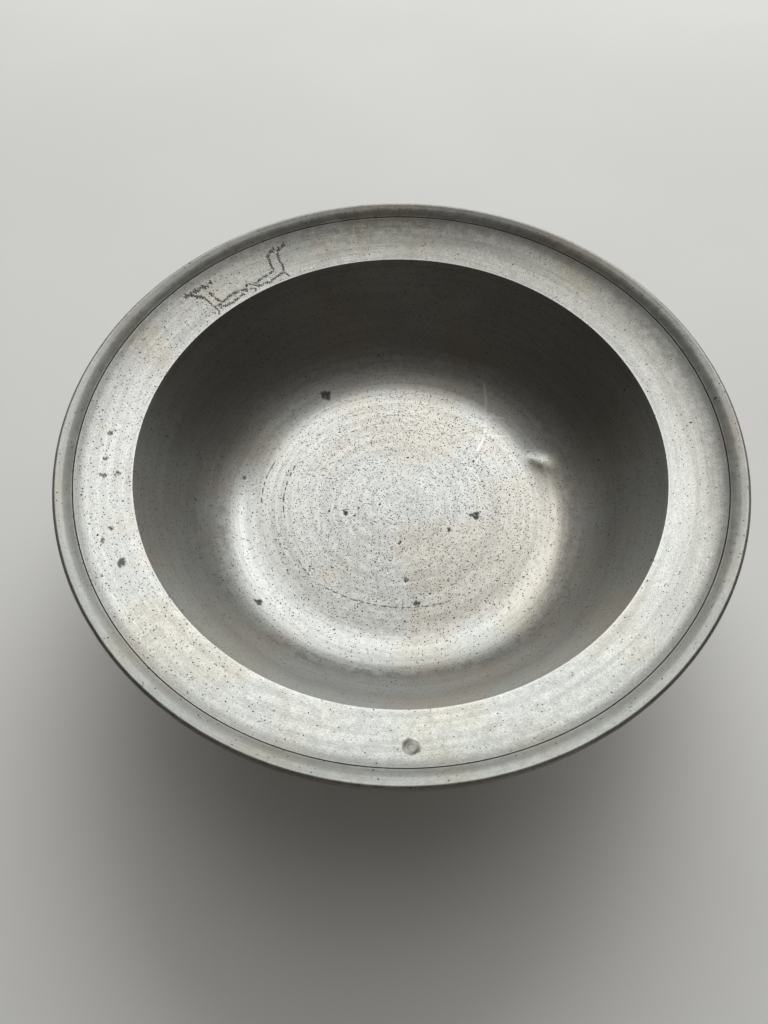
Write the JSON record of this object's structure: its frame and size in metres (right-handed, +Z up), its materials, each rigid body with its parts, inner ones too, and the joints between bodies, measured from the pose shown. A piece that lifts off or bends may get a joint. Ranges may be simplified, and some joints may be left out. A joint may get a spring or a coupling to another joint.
{
  "type": "brimmed bowl",
  "caption": "Deep round pewter bowl with a flat floor, a broad dished brim, a rounded edge moulding and a low foot ring.",
  "frame": {"origin": "middle of the foot ring, on the standing surface", "axes": "+Z up along the bowl's axis, -Y towards the plugged hole at the front of the brim"},
  "size_m": [0.22, 0.22, 0.0583],
  "materials": {
    "pewter": "satin pewter, turned, worn, with fine dark pits",
    "plug_pewter": "dull pewter, hammered flush",
    "solder": "dull soft solder"
  },
  "bodies": {
    "root": {"bowl": "pewter", "brim": "pewter", "rim_moulding": "pewter", "foot_ring": "pewter", "hanging_hole_plug": "plug_pewter", "brim_solder": "solder", "rim_solder": "solder", "foot_solder_outer": "solder", "foot_solder_inner": "solder"}
  },
  "joints": []
}
